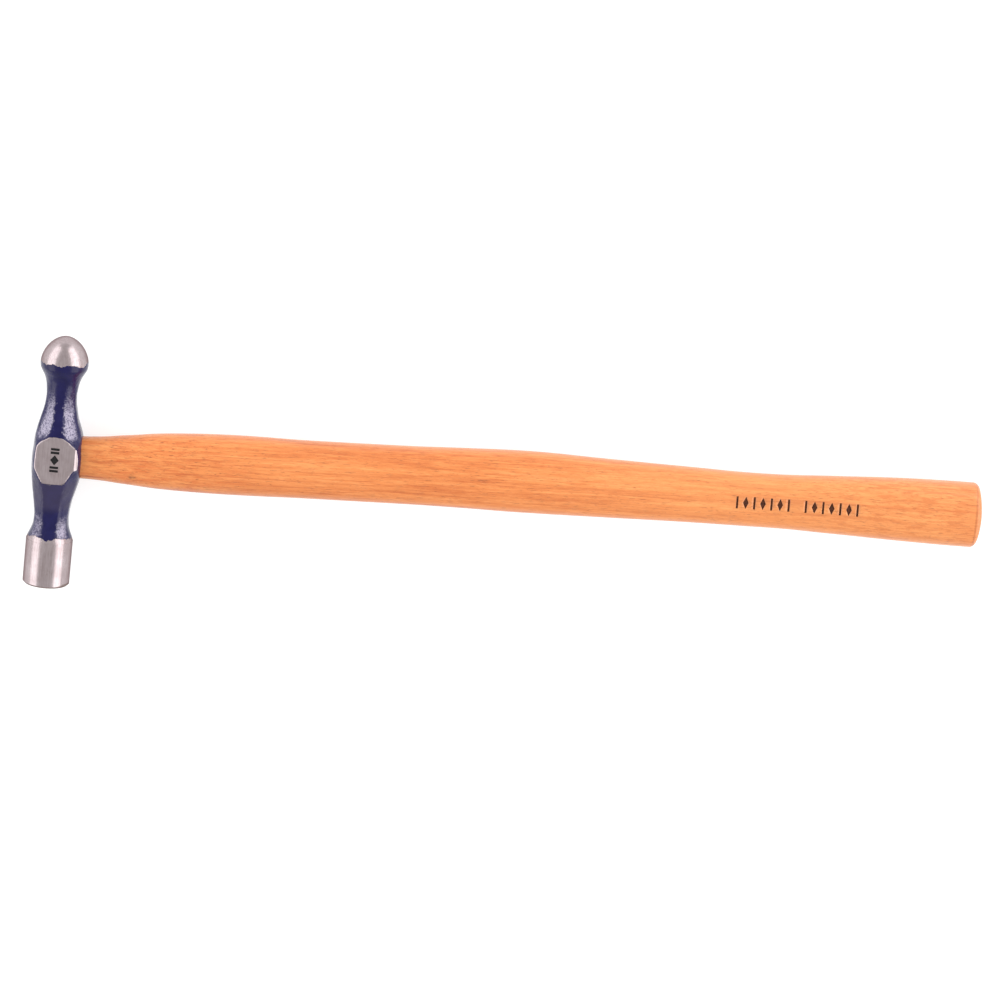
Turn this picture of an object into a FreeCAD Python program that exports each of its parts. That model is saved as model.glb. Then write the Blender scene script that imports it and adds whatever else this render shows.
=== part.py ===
"""Ball peen hammer, four ounce class, drawn in millimetres.

The hammer lies on one cheek. +X runs along the handle to the butt, +Y along the head to the ball peen,
and +Z up through the cheeks. The origin is on the bench, under the middle of the eye.

Four pieces, as they come apart on a bench:
    head         forged steel: ball peen, eight-sided necks, ground cheeks, round poll, oval eye
    handle       hickory: domed butt, grip, belly, and the split tenon that fills the eye
    wood_wedge   hardwood wedge in the tenon's saw kerf, along the eye's long way
    steel_wedge  barbed steel wedge, driven slantwise across the wooden one
"""

import FreeCAD
import Part

import math
import os

from FreeCAD import Vector

# ---------------------------------------------------------------- driving dimensions

# Head, measured along its own axis from the middle of the eye
PEEN_TOP = 41.5
PEEN_FLAT = 0.35  # radius of the tiny flat at the peen's top
BALL_CENTRE = 32.4
BALL_RADIUS = 8.0
BALL_FALL = 1.8  # the peen is a little more pointed than a ball
BALL_ROUNDNESS = 0.55
SHOULDER = -28.9
POLL_RADIUS = 7.9
FACE_RIM = -44.5
FACE_CHAMFER = 0.6
FACE_CROWN = 0.5
CHEEK_TO_CHEEK = 17.0
SIDE_CROWN_RADIUS = 28.0  # the forging's sides are a little rounded from cheek to cheek
EAR = 1.0  # the eye block stands out that much further on the handle's side
EAR_HALF_LENGTH = 13.0
CORNER_CRISPNESS = 22  # how sharply neighbouring facets meet
HEAD_LEAN = 2.5  # degrees that the peen leans towards the handle

# Eye: an oval that is narrowest inside the head
EYE_SECTIONS = [  # x, half height (y), half depth (z)
    (-10.0, 7.1, 4.7),
    (1.0, 6.5, 4.1),
    (10.0, 6.8, 4.4),
]
TENON_END = -7.8
TENON_END_RADIUS = 36.0  # the tenon is rasped to follow the head's side

# Handle
BUTT_END = 312.9
BUTT_DOME_RADIUS = 32.0
BUTT_EDGE = 1.5
HANDLE_SQUARENESS = 2.35  # 2 is an ellipse, more is squarer
HANDLE_SECTIONS = [  # x, middle (y), half height (y), half depth (z)
    (4.0, 0.05, 7.05, 5.30),
    (11.0, 0.10, 7.20, 5.50),
    (23.0, 0.25, 8.25, 6.10),
    (43.0, 0.60, 9.80, 7.10),
    (61.0, 0.80, 10.12, 7.55),
    (86.0, 0.90, 9.82, 7.45),
    (119.0, 1.22, 9.88, 7.35),
    (138.0, 1.45, 10.20, 7.45),
    (157.0, 1.50, 10.50, 7.60),
    (186.0, 1.10, 9.95, 7.40),
    (213.0, 0.75, 9.40, 7.10),
    (238.0, 0.35, 9.10, 7.00),
    (262.0, 0.35, 9.80, 7.50),
    (286.0, 0.30, 10.65, 8.20),
    (304.0, 0.10, 10.95, 8.48),
    (318.0, -0.05, 11.00, 8.48),
]

# Wedges
WOOD_WEDGE_TIP = 4.5
WOOD_WEDGE_TIP_THICK = 0.9
WOOD_WEDGE_THICK = 3.0
STEEL_WEDGE_TIP = 0.8
STEEL_WEDGE_TIP_THICK = 0.5
STEEL_WEDGE_THICK = 1.7
STEEL_WEDGE_WIDTH = 7.4
STEEL_WEDGE_TURN = 35.0  # degrees from square across the wooden wedge
BARB_COUNT = 3
BARB_DEPTH = 0.15

AXIS_HEIGHT = CHEEK_TO_CHEEK / 2
REACH = 30.0  # how far cutting tools stand out past the head


# ---------------------------------------------------------------- helpers


def line(a, b):
    return Part.LineSegment(a, b).toShape()


def oval(x, middle, half_height, half_depth, squareness=2.0, count=24):
    """A closed oval square to X."""
    points = []
    for i in range(count):
        turn = 2 * math.pi * i / count
        c = math.cos(turn)
        s = math.sin(turn)
        y = math.copysign(abs(c) ** (2 / squareness), c)
        z = math.copysign(abs(s) ** (2 / squareness), s)
        points.append(Vector(x, middle + half_height * y, half_depth * z))
    curve = Part.BSplineCurve()
    curve.interpolate(points, PeriodicFlag=True)
    return Part.Wire([curve.toShape()])


def lifted(shape):
    """The shape, drawn about the eye's middle, raised to its height above the bench."""
    raised = shape.copy()
    raised.translate(Vector(0, 0, AXIS_HEIGHT))
    return raised


# ---------------------------------------------------------------- head

# The forging between the ball and the poll is eight-sided. Each row is a place along the head and the
# distance from its axis to the side, cheek and slanting facets, and to the round off its corners.
FORGED_SECTIONS = [  # y, side, cheek, corner, round
    (24.0, 5.40, 5.60, 5.50, 5.40),
    (21.4, 5.08, 5.25, 5.10, 5.50),
    (18.6, 5.22, 5.60, 5.18, 6.00),
    (15.9, 5.75, 6.30, 5.60, 6.80),
    (13.1, 6.40, 7.15, 6.25, 7.90),
    (10.5, 7.05, 7.90, 7.15, 9.00),
    (8.3, 7.50, 8.50, 8.15, 9.90),
    (4.6, 7.92, 9.25, 10.50, 11.20),
    (0.0, 8.25, 9.60, 10.95, 11.60),
    (-2.4, 8.15, 9.50, 10.80, 11.60),
    (-5.4, 7.90, 9.05, 9.90, 11.00),
    (-8.1, 7.60, 8.50, 8.80, 10.20),
    (-11.4, 7.10, 7.70, 7.75, 9.00),
    (-14.8, 6.50, 6.95, 6.95, 7.90),
    (-18.0, 6.00, 6.30, 6.40, 7.00),
    (-20.8, 5.80, 6.00, 6.15, 6.40),
    (-23.4, 6.10, 6.20, 6.20, 6.20),
]
ROUND_SECTIONS = [  # y, radius, between the forging and the ball and between the forging and the poll
    (31.0, 7.88), (29.6, 7.25), (28.2, 6.45), (26.8, 5.88), (25.4, 5.52),
    (-25.2, 6.45), (-26.6, 7.00), (-27.8, 7.48), (SHOULDER, 7.82),
]
FAR = 2.0  # a facet this many times further out than the round has no say


def ball_sections():
    """Round sections of the peen from its equator to its top."""
    count = 9
    height = PEEN_TOP - BALL_CENTRE
    rows = []
    for i in range(count):
        rise = math.sin(math.pi / 2 * i / count)
        rows.append((BALL_CENTRE + height * rise, BALL_RADIUS * (1 - rise**BALL_FALL) ** BALL_ROUNDNESS))
    rows.append((PEEN_TOP, PEEN_FLAT))
    return rows


def head_sections():
    """All sections from the peen's top to the poll's shoulder, as (y, side, cheek, corner, round)."""
    rows = list(FORGED_SECTIONS)
    for y, radius in ball_sections() + ROUND_SECTIONS:
        rows.append((y, FAR * radius, FAR * radius, FAR * radius, radius))
    return sorted(rows, reverse=True)


def reach(turn, side, cheek, corner, round_radius, ear):
    """How far the forging's skin stands from its axis, in the direction turn from +X to +Z."""
    c = math.cos(turn)
    s = math.sin(turn)
    pulls = [abs(s) / cheek, 1 / round_radius]
    for lean in (c + s, c - s):
        pulls.append(abs(lean) / math.sqrt(2) / corner)
    for way, out in ((c, side + ear), (-c, side)):
        pulls.append((way + math.sqrt(c * c + 2 * s * s * out / SIDE_CROWN_RADIUS)) / (2 * out))
    return sum(pull**CORNER_CRISPNESS for pull in pulls) ** (-1 / CORNER_CRISPNESS)


def head_wire(row):
    """One closed section of the head, square to its axis."""
    count = 48
    ear = EAR * max(0, 1 - (row[0] / EAR_HALF_LENGTH) ** 2)
    points = []
    for i in range(count):
        turn = 2 * math.pi * i / count
        out = reach(turn, *row[1:], ear)
        points.append(Vector(out * math.cos(turn), row[0], out * math.sin(turn)))
    curve = Part.BSplineCurve()
    curve.interpolate(points, PeriodicFlag=True)
    return Part.Wire([curve.toShape()])


def poll():
    """The poll, turned a little wider than the forging, with a chamfered rim and a crowned face."""
    rim = POLL_RADIUS - FACE_CHAMFER
    crown_radius = (rim**2 + FACE_CROWN**2) / (2 * FACE_CROWN)
    crown_turn = math.asin(rim / crown_radius) / 2
    crown_centre = FACE_RIM - FACE_CROWN + crown_radius
    corners = [Vector(0, SHOULDER, 0), Vector(POLL_RADIUS, SHOULDER, 0),
               Vector(POLL_RADIUS, FACE_RIM + FACE_CHAMFER, 0), Vector(rim, FACE_RIM, 0)]
    middle = Vector(0, FACE_RIM - FACE_CROWN, 0)
    halfway_y = crown_centre - crown_radius * math.cos(crown_turn)
    halfway = Vector(crown_radius * math.sin(crown_turn), halfway_y, 0)
    edges = [line(a, b) for a, b in zip(corners, corners[1:])]
    edges += [Part.Arc(corners[-1], halfway, middle).toShape(), line(middle, corners[0])]
    return Part.Face(Part.Wire(edges)).revolve(Vector(0, 0, 0), Vector(0, 1, 0), 360)


def head_blank():
    """The forging with its cheeks ground and its poll turned, before the eye is made."""
    forging = Part.makeLoft([head_wire(row) for row in head_sections()], True)
    length = PEEN_TOP - SHOULDER + 8
    corner = Vector(-REACH, SHOULDER - 4, -CHEEK_TO_CHEEK / 2)
    slab = Part.makeBox(2 * REACH, length, CHEEK_TO_CHEEK, corner)
    blank = forging.common(slab).fuse(poll())
    blank.rotate(Vector(0, 0, 0), Vector(0, 0, 1), -HEAD_LEAN)
    return blank


def eye():
    """The hollow through the head, as a solid."""
    return Part.makeLoft([oval(x, 0, height, depth) for x, height, depth in EYE_SECTIONS], True)


# ---------------------------------------------------------------- wedges


def end_tool():
    """Everything inboard of the rasped end of the tenon."""
    centre = Vector(TENON_END + TENON_END_RADIUS, 0, -REACH)
    return Part.makeCylinder(TENON_END_RADIUS, 2 * REACH, centre)


def wood_wedge_blank():
    """The wooden wedge before it is trimmed to the eye: thick end out, thin end in."""
    thick = WOOD_WEDGE_THICK / 2
    thin = WOOD_WEDGE_TIP_THICK / 2
    corners = [Vector(TENON_END, -REACH, -thick), Vector(WOOD_WEDGE_TIP, -REACH, -thin),
               Vector(WOOD_WEDGE_TIP, -REACH, thin), Vector(TENON_END, -REACH, thick)]
    face = Part.Face(Part.makePolygon(corners + corners[:1]))
    return face.extrude(Vector(0, 2 * REACH, 0))


def steel_wedge():
    """A tapered steel wedge with a few barbs on each broad side."""
    half_width = STEEL_WEDGE_WIDTH / 2
    side = []
    for i in range(BARB_COUNT + 1):
        part = i / (BARB_COUNT + 1)
        x = TENON_END + (STEEL_WEDGE_TIP - TENON_END) * part
        thick = (STEEL_WEDGE_THICK + (STEEL_WEDGE_TIP_THICK - STEEL_WEDGE_THICK) * part) / 2
        if i:
            side.append((x, thick - BARB_DEPTH))
        side.append((x, thick))
    side.append((STEEL_WEDGE_TIP, STEEL_WEDGE_TIP_THICK / 2))
    corners = [Vector(x, thick, -half_width) for x, thick in side]
    corners += [Vector(x, -thick, -half_width) for x, thick in reversed(side)]
    face = Part.Face(Part.makePolygon(corners + corners[:1]))
    solid = face.extrude(Vector(0, 0, STEEL_WEDGE_WIDTH))
    solid.rotate(Vector(0, 0, 0), Vector(1, 0, 0), STEEL_WEDGE_TURN)
    return solid.common(end_tool())


# ---------------------------------------------------------------- handle


def handle_body(blank):
    """Grip and belly from the head's side to the domed butt."""
    sections = [oval(*section, HANDLE_SQUARENESS) for section in HANDLE_SECTIONS]
    body = Part.makeLoft(sections, True)
    dome_centre = BUTT_END - BUTT_DOME_RADIUS
    dome = Part.makeSphere(BUTT_DOME_RADIUS, Vector(dome_centre, 0, 0))
    stem = Part.makeCylinder(BUTT_DOME_RADIUS, dome_centre, Vector(0, 0, 0), Vector(1, 0, 0))
    body = body.common(dome.fuse(stem))
    butt_face = max(body.Faces, key=lambda face: face.CenterOfMass.x)
    body = body.makeFillet(BUTT_EDGE, butt_face.OuterWire.Edges)
    return body.cut(blank)


def tenon():
    """The end of the handle inside the eye, before the kerf is cut."""
    return eye().common(end_tool())


# ---------------------------------------------------------------- pieces


def pieces():
    """Every piece about the eye's middle. Neighbours share their faces and don't overlap."""
    blank = head_blank()
    core = tenon()
    steel = steel_wedge()
    kerf = wood_wedge_blank()
    split_core = core.cut(kerf).cut(steel)
    return {
        "head": blank.cut(eye()),
        "handle": handle_body(blank).fuse(split_core).removeSplitter(),
        "wood_wedge": core.common(kerf).cut(steel),
        "steel_wedge": steel,
    }


os.makedirs("parts", exist_ok=True)
for name, shape in pieces().items():
    lifted(shape.Solids[0]).exportStep("parts/" + name + ".step")
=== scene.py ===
import math

import bmesh
import bpy
from mathutils import Matrix, Vector, noise


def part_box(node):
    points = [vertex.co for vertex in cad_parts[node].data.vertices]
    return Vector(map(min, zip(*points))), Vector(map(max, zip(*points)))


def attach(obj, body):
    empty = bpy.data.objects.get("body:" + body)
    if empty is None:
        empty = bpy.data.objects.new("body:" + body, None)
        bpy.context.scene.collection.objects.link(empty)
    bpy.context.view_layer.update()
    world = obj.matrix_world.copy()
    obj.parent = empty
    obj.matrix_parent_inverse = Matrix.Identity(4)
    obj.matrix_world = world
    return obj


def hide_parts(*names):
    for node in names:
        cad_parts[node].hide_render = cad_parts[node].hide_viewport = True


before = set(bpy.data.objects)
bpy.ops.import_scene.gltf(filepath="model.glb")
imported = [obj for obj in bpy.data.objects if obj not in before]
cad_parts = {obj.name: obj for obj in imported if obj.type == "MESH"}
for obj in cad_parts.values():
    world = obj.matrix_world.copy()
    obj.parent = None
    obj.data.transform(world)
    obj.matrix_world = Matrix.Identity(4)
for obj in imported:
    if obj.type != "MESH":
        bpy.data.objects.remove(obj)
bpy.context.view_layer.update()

# ---------------------------------------------------------------- the bench, the lamps and the camera
# The hammer lies on one cheek on a white board, in a white tent with two long soft boxes, one on each side.
# The camera looks down from over the peen's side.
MM = 0.001
LOOK_AT = Vector((150.0, -5.42, 8.5)) * MM
CAMERA_DISTANCE = 1318.2 * MM
CAMERA_TILT = 14.56  # degrees off straight down, towards the peen
CAMERA_SWING = -1.5  # degrees towards the head
CAMERA_ROLL = 4.05
LENS = 140.4
SENSOR = 36.0
BOARD_REACH = 8.0
BOARD_GREY = (0.42, 0.42, 0.42, 1)
BOARD_GLOW = 0.72  # the board is lit from below, like a light table
TENT_CLOTH = (1.0, 0.985, 0.98, 1)
TENT_GLOW = 0.78
SOFT_BOXES = [  # name, direction from the hammer, distance, width, length along Y, brightness
    ("left soft box", (-0.86, 0.22, 0.45), 1.25, 0.98, 3.20, 1.75),
    ("right soft box", (0.86, 0.22, 0.47), 1.25, 1.00, 3.20, 2.1),
]


class Wiring:
    """Short ways to add nodes to a tree and join them up."""

    def feed(self, socket, value):
        """Links a value that comes from another node, or writes a plain one into the socket."""
        if isinstance(value, bpy.types.NodeSocket):
            self.tree.links.new(value, socket)
        else:
            socket.default_value = value

    def add(self, kind, **values):
        """A new node, with its inputs given by name, with _ for spaces."""
        node = self.tree.nodes.new(kind)
        for name, value in values.items():
            self.feed(node.inputs[name.replace("_", " ")], value)
        return node

    def parts(self, vector):
        return self.add("ShaderNodeSeparateXYZ", Vector=vector).outputs

    def sum(self, how, *values):
        """One step of arithmetic, such as MAXIMUM, SQRT or COSINE."""
        node = self.tree.nodes.new("ShaderNodeMath")
        node.operation = how
        for socket, value in zip(node.inputs, values):
            self.feed(socket, value)
        return node.outputs[0]

    def plus(self, first, second):
        return self.sum("ADD", first, second)

    def minus(self, first, second):
        return self.sum("SUBTRACT", first, second)

    def times(self, first, second):
        return self.sum("MULTIPLY", first, second)

    def over(self, first, second):
        return self.sum("DIVIDE", first, second)

    def size(self, value):
        """The value without its sign."""
        return self.sum("ABSOLUTE", value)

    def distance(self, across, along):
        """How far off a point is that lies so far across and so far along."""
        return self.sum("SQRT", self.plus(self.times(across, across), self.times(along, along)))


class Finish(Wiring):
    """A surface finish being mixed, round one main shader."""

    def __init__(self, name, turned=0.0, centre=(0.0, 0.0, 0.0)):
        """Patterns are read in millimetres from centre, along axes turned about Z by that many degrees."""
        self.material = bpy.data.materials.new(name)
        self.material.use_nodes = True
        self.tree = self.material.node_tree
        self.shader = self.tree.nodes["Principled BSDF"]
        place = self.add("ShaderNodeTexCoord").outputs["Object"]
        put = self.add("ShaderNodeMapping", Location=Vector(centre) * MM, Scale=(MM, MM, MM), Vector=place,
                       Rotation=(0, 0, math.radians(turned)))
        put.vector_type = "TEXTURE"
        self.place = put.outputs["Vector"]
        self.x, self.y, self.z = self.parts(self.place)

    def set(self, **values):
        """Main shader sockets by name, with _ for spaces."""
        for name, value in values.items():
            self.feed(self.shader.inputs[name.replace("_", " ")], value)

    def between(self, value, low, high):
        """Rises smoothly from 0 at low to 1 at high, or falls if low is above high."""
        node = self.tree.nodes.new("ShaderNodeMapRange")
        node.interpolation_type = "SMOOTHSTEP"
        self.feed(node.inputs["Value"], value)
        rising = high >= low
        self.feed(node.inputs["From Min"], low if rising else high)
        self.feed(node.inputs["From Max"], high if rising else low)
        node.inputs["To Min"].default_value = 0.0 if rising else 1.0
        node.inputs["To Max"].default_value = 1.0 if rising else 0.0
        return node.outputs["Result"]

    def stretched(self, scale, shift=(0, 0, 0)):
        """The pattern's place with each axis multiplied, so that a pattern can run long one way."""
        node = self.tree.nodes.new("ShaderNodeMapping")
        self.feed(node.inputs["Vector"], self.place)
        node.inputs["Scale"].default_value = scale
        node.inputs["Location"].default_value = shift
        return node.outputs["Vector"]

    def along(self, value, span):
        """Full between the two inner places of the span, and gone at its two ends."""
        return self.times(self.between(value, span[0], span[1]), self.between(value, span[3], span[2]))

    def cloud(self, place, scale=1.0, detail=2.0, rough=0.5):
        """Soft random variation about 0.5."""
        node = self.tree.nodes.new("ShaderNodeTexNoise")
        self.feed(node.inputs["Vector"], place)
        self.feed(node.inputs["Scale"], scale)
        self.feed(node.inputs["Detail"], detail)
        self.feed(node.inputs["Roughness"], rough)
        return node.outputs["Fac"]

    def wobble(self, place, scale=1.0, detail=2.0, rough=0.5):
        """Soft random variation about 0."""
        return self.minus(self.cloud(place, scale, detail, rough), 0.5)

    def blend(self, amount, first, second):
        """A colour between two."""
        node = self.tree.nodes.new("ShaderNodeMix")
        node.data_type = "RGBA"
        self.feed(node.inputs[0], amount)
        for socket, colour in ((node.inputs[6], first), (node.inputs[7], second)):
            self.feed(socket, colour if isinstance(colour, bpy.types.NodeSocket) else (*colour, 1.0))
        return node.outputs[2]

    def overlaid(self, colour, where, strength, overlay):
        """The colour with that much of another colour laid over it, where the mask is. It lays real stains,
        grain and wear, and also painted shade.
        """
        return self.blend(self.times(where, strength), colour, overlay)

    def graded(self, value, *stops):
        """A colour read off a scale of (value, colour) stops."""
        node = self.tree.nodes.new("ShaderNodeValToRGB")
        self.feed(node.inputs[0], value)
        scale = node.color_ramp
        while len(scale.elements) < len(stops):
            scale.elements.new(0.5)
        for element, (at, colour) in zip(scale.elements, stops):
            element.position = at
            element.color = (*colour, 1.0)
        return node.outputs[0]

    def relief(self, height, depth, under=None):
        """Raises and sinks the surface by height times depth millimetres."""
        node = self.tree.nodes.new("ShaderNodeBump")
        node.inputs["Distance"].default_value = depth * MM
        self.feed(node.inputs["Height"], height)
        if under is not None:
            self.feed(node.inputs["Normal"], under)
        return node.outputs["Normal"]


def lay_bench():
    """A wide, smooth white board."""
    mesh = bpy.data.meshes.new("bench")
    corners = [(BOARD_REACH * x, BOARD_REACH * y, 0) for x, y in ((-1, -1), (1, -1), (1, 1), (-1, 1))]
    mesh.from_pydata(corners, [], [(0, 1, 2, 3)])
    board = bpy.data.objects.new("bench", mesh)
    bpy.context.scene.collection.objects.link(board)
    white = Finish("white board")
    white.set(Base_Color=BOARD_GREY, Roughness=0.9, Specular_IOR_Level=0.1)
    white.set(Emission_Color=(1, 1, 1, 1), Emission_Strength=BOARD_GLOW)
    mesh.materials.append(white.material)


def hang_soft_box(name, direction, distance, width, length, brightness):
    """A soft rectangular lamp that faces the head."""
    light = bpy.data.lights.new(name, "AREA")
    light.shape = "RECTANGLE"
    light.size = width
    light.size_y = length
    light.energy = brightness * math.pi * width * length
    back = Vector(direction).normalized()
    across = Vector((0, 1, 0)).cross(back).normalized()
    along = back.cross(across)
    holder = bpy.data.objects.new(name, light)
    turn = Matrix((across, along, back)).transposed().to_4x4()
    holder.matrix_world = Matrix.Translation(back * distance) @ turn
    bpy.context.scene.collection.objects.link(holder)


def set_camera():
    camera = bpy.data.cameras.new("camera")
    camera.lens = LENS
    camera.sensor_width = SENSOR
    camera.clip_start = 0.05
    camera.clip_end = 40
    holder = bpy.data.objects.new("camera", camera)
    turn = Matrix.Rotation(math.radians(CAMERA_SWING), 4, "Y")
    turn @= Matrix.Rotation(math.radians(-CAMERA_TILT), 4, "X")
    turn @= Matrix.Rotation(math.radians(CAMERA_ROLL), 4, "Z")
    back = turn.to_3x3() @ Vector((0, 0, 1))
    holder.matrix_world = Matrix.Translation(LOOK_AT + back * CAMERA_DISTANCE) @ turn
    bpy.context.scene.collection.objects.link(holder)
    bpy.context.scene.camera = holder


def raise_tent():
    tent = bpy.data.worlds.new("tent")
    tent.use_nodes = True
    cloth = tent.node_tree.nodes["Background"]
    cloth.inputs["Color"].default_value = TENT_CLOTH
    cloth.inputs["Strength"].default_value = TENT_GLOW
    bpy.context.scene.world = tent
    bpy.context.scene.view_settings.view_transform = "Standard"


lay_bench()
for soft_box in SOFT_BOXES:
    hang_soft_box(*soft_box)
set_camera()
raise_tent()

# ---------------------------------------------------------------- the head
# One steel forging: the peen, two eight-sided necks, the eye block and the poll. It was dipped in dark blue
# enamel, and then the peen, the poll and the two cheeks were ground bare, so the coat ends raggedly.
PEEN_TOP = 41.5  # all along the head's own axis, in millimetres from the middle of the eye
BALL_CENTRE = 32.4
BALL_RADIUS = 8.0
BALL_FALL = 1.8  # the peen is a little more pointed than a ball
BALL_ROUNDNESS = 0.55
SHOULDER = -28.9
POLL_RADIUS = 7.9
FACE_RIM = -44.5
FACE_CHAMFER = 0.6
FACE_CROWN = 0.5
HALF_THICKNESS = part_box("head")[1][2] / MM / 2  # from the head's axis to each cheek
SIDE_CROWN_RADIUS = 28.0  # the sides are a little rounded from cheek to cheek
CORNER_CRISPNESS = 30  # how sharply neighbouring facets meet
HEAD_LEAN = 2.5  # degrees that the peen leans towards the handle
FORGED_SECTIONS = [  # y, then how far the side, cheek and slanting facets and the rounding stand off the axis
    (24.0, 5.40, 5.60, 5.50, 5.40),
    (21.4, 5.08, 5.25, 5.10, 5.50),
    (18.6, 5.22, 5.60, 5.18, 6.00),
    (15.9, 5.75, 6.30, 5.60, 6.80),
    (13.1, 6.40, 7.15, 6.25, 7.90),
    (10.5, 7.05, 7.90, 7.15, 9.00),
    (8.4, 7.49, 8.50, 8.06, 9.90),
    (6.6, 7.72, 8.90, 9.62, 10.60),
    (4.9, 7.88, 9.20, 10.74, 11.15),
    (4.4, 7.93, 9.27, 10.90, 11.22),
    (0.0, 8.25, 9.60, 10.92, 11.60),
    (-2.0, 8.18, 9.54, 10.90, 11.60),
    (-2.6, 8.14, 9.48, 10.76, 11.55),
    (-5.0, 7.93, 9.30, 9.80, 11.05),
    (-7.1, 7.70, 8.85, 8.97, 10.50),
    (-8.2, 7.58, 8.36, 8.62, 10.15),
    (-11.4, 7.10, 7.70, 7.75, 9.00),
    (-14.8, 6.50, 6.95, 6.95, 7.90),
    (-18.0, 6.00, 6.30, 6.40, 7.00),
    (-20.8, 5.80, 6.00, 6.15, 6.40),
    (-23.4, 6.10, 6.20, 6.20, 6.20),
]
ROUND_SECTIONS = [  # y, radius
    (31.0, 7.88), (29.6, 7.25), (28.2, 6.45), (26.8, 5.88), (25.4, 5.52),
    (-25.2, 6.45), (-26.6, 7.00), (-27.8, 7.48), (SHOULDER, 7.82),
]
FAR = 2.0  # a facet this many times further out than the rounding has no say
EAR = 1.0  # the eye block stands out that much further on the handle's side
EAR_HALF_LENGTH = 13.0
FACET_BOTTOM = -2.3  # along the head, the span of the narrow facet beside each cheek
FACET_TOP = 6.2
FACET_METAL = 0.55  # extra metal there, so that the facet has something to be ground from
FACET_EDGE = 6.75  # where the facet meets the cheek
FACET_TILT = 33.0  # degrees that the facet leans off the cheek
RIM_WIDTH = 0.28  # the chamfer round each cheek
RIM_DROP = 0.16
RING_GAP = 0.40  # between the mesh's rings
AROUND = 176
BALL_RINGS = 30
FACE_RINGS = 12
LUMP_HEIGHT = 0.07
EYE_SECTIONS = [  # x, half height, half depth
    (-10.0, 7.1, 4.7),
    (1.0, 6.5, 4.1),
    (10.0, 6.8, 4.4),
]
EYE_MOUTH_START = 7.6  # off the middle, where the eye begins to open out
EYE_MOUTH_SLOPE = 0.7
EYE_STEP = 0.5
EYE_AROUND = 96


def reach(turn, side, cheek, corner, round_radius, ear):
    """How far the forging's skin stands from its axis, in the direction turn from +X to +Z."""
    c = math.cos(turn)
    s = math.sin(turn)
    pulls = [abs(s) / cheek, 1 / round_radius]
    for lean in (c + s, c - s):
        pulls.append(abs(lean) / math.sqrt(2) / corner)
    for way, out in ((c, side + ear), (-c, side)):
        pulls.append((way + math.sqrt(c * c + 2 * s * s * out / SIDE_CROWN_RADIUS)) / (2 * out))
    return sum(pull**CORNER_CRISPNESS for pull in pulls) ** (-1 / CORNER_CRISPNESS)


def ball_radius(y):
    rise = (y - BALL_CENTRE) / (PEEN_TOP - BALL_CENTRE)
    return BALL_RADIUS * (1 - rise**BALL_FALL) ** BALL_ROUNDNESS


def fair(places, values):
    """A smooth curve through the values, as a function of place, that doesn't overshoot between them."""
    slopes = [(b - a) / (q - p) for p, q, a, b in zip(places, places[1:], values, values[1:])]
    tilts = [slopes[0]]
    for a, b in zip(slopes, slopes[1:]):
        tilts.append(0.0 if a * b <= 0 else 2 * a * b / (a + b))
    tilts.append(slopes[-1])

    def at(place):
        i = max(k for k in range(len(places) - 1) if k == 0 or places[k] <= place)
        gap = places[i + 1] - places[i]
        t = (place - places[i]) / gap
        start = values[i] * (1 + 2 * t) * (1 - t) ** 2 + tilts[i] * gap * t * (1 - t) ** 2
        end = values[i + 1] * t * t * (3 - 2 * t) - tilts[i + 1] * gap * t * t * (1 - t)
        return start + end

    return at


def section_towards(turn, y, side, cheek, corner, round_radius):
    """The skin's distance in one direction, with the extra metal by the eye on the handle's side."""
    ear = EAR * max(0.0, 1 - (y / EAR_HALF_LENGTH) ** 2)
    if math.cos(turn) > 0 and FACET_BOTTOM <= y <= FACET_TOP:
        corner += FACET_METAL
    return reach(turn, side, cheek, corner, round_radius, ear)


def forging_curves():
    """For each of the directions round the axis, the skin's distance as a function of y."""
    rows = list(FORGED_SECTIONS)
    rows += [(y, FAR * r, FAR * r, FAR * r, r) for y, r in ROUND_SECTIONS]
    rows += [(y, *(3 * [FAR * ball_radius(y)]), ball_radius(y)) for y in (BALL_CENTRE, BALL_CENTRE + 1.5)]
    rows.sort()
    places = [row[0] for row in rows]
    curves = []
    for i in range(AROUND):
        turn = 2 * math.pi * i / AROUND
        curves.append(fair(places, [section_towards(turn, *row) for row in rows]))
    return curves


def ring_places(top, bottom):
    count = round((top - bottom) / RING_GAP)
    return [top + (bottom - top) * i / count for i in range(count + 1)]


def head_rings():
    """Rings of distances from the axis, from near the peen's top to near the middle of the struck face."""
    rings = []
    for i in range(1, BALL_RINGS):
        y = BALL_CENTRE + (PEEN_TOP - BALL_CENTRE) * math.cos(math.pi / 2 * i / BALL_RINGS)
        rings.append((y, [ball_radius(y)] * AROUND))
    curves = forging_curves()
    for y in ring_places(BALL_CENTRE, SHOULDER):
        rings.append((y, [curve(y) for curve in curves]))
    for y in ring_places(SHOULDER, FACE_RIM + FACE_CHAMFER):
        rings.append((y, [POLL_RADIUS] * AROUND))
    rim = POLL_RADIUS - FACE_CHAMFER
    for i in range(FACE_RINGS):
        part = 1 - i / FACE_RINGS
        rings.append((FACE_RIM - FACE_CROWN * (1 - part * part), [rim * part] * AROUND))
    return rings


def lump(y, turn, out):
    """How far the hammered forging stands up under its paint at one point, in millimetres."""
    painted = max(0.0, min(1.0, (BALL_CENTRE - 1 - y) / 3)) * max(0.0, min(1.0, (y - SHOULDER) / 2))
    if not painted:
        return 0.0
    spot = Vector((out * math.cos(turn), y, out * math.sin(turn)))
    return LUMP_HEIGHT * painted * (noise.noise(spot * 0.35) + 0.6 * noise.noise(spot * 0.9))


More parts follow.
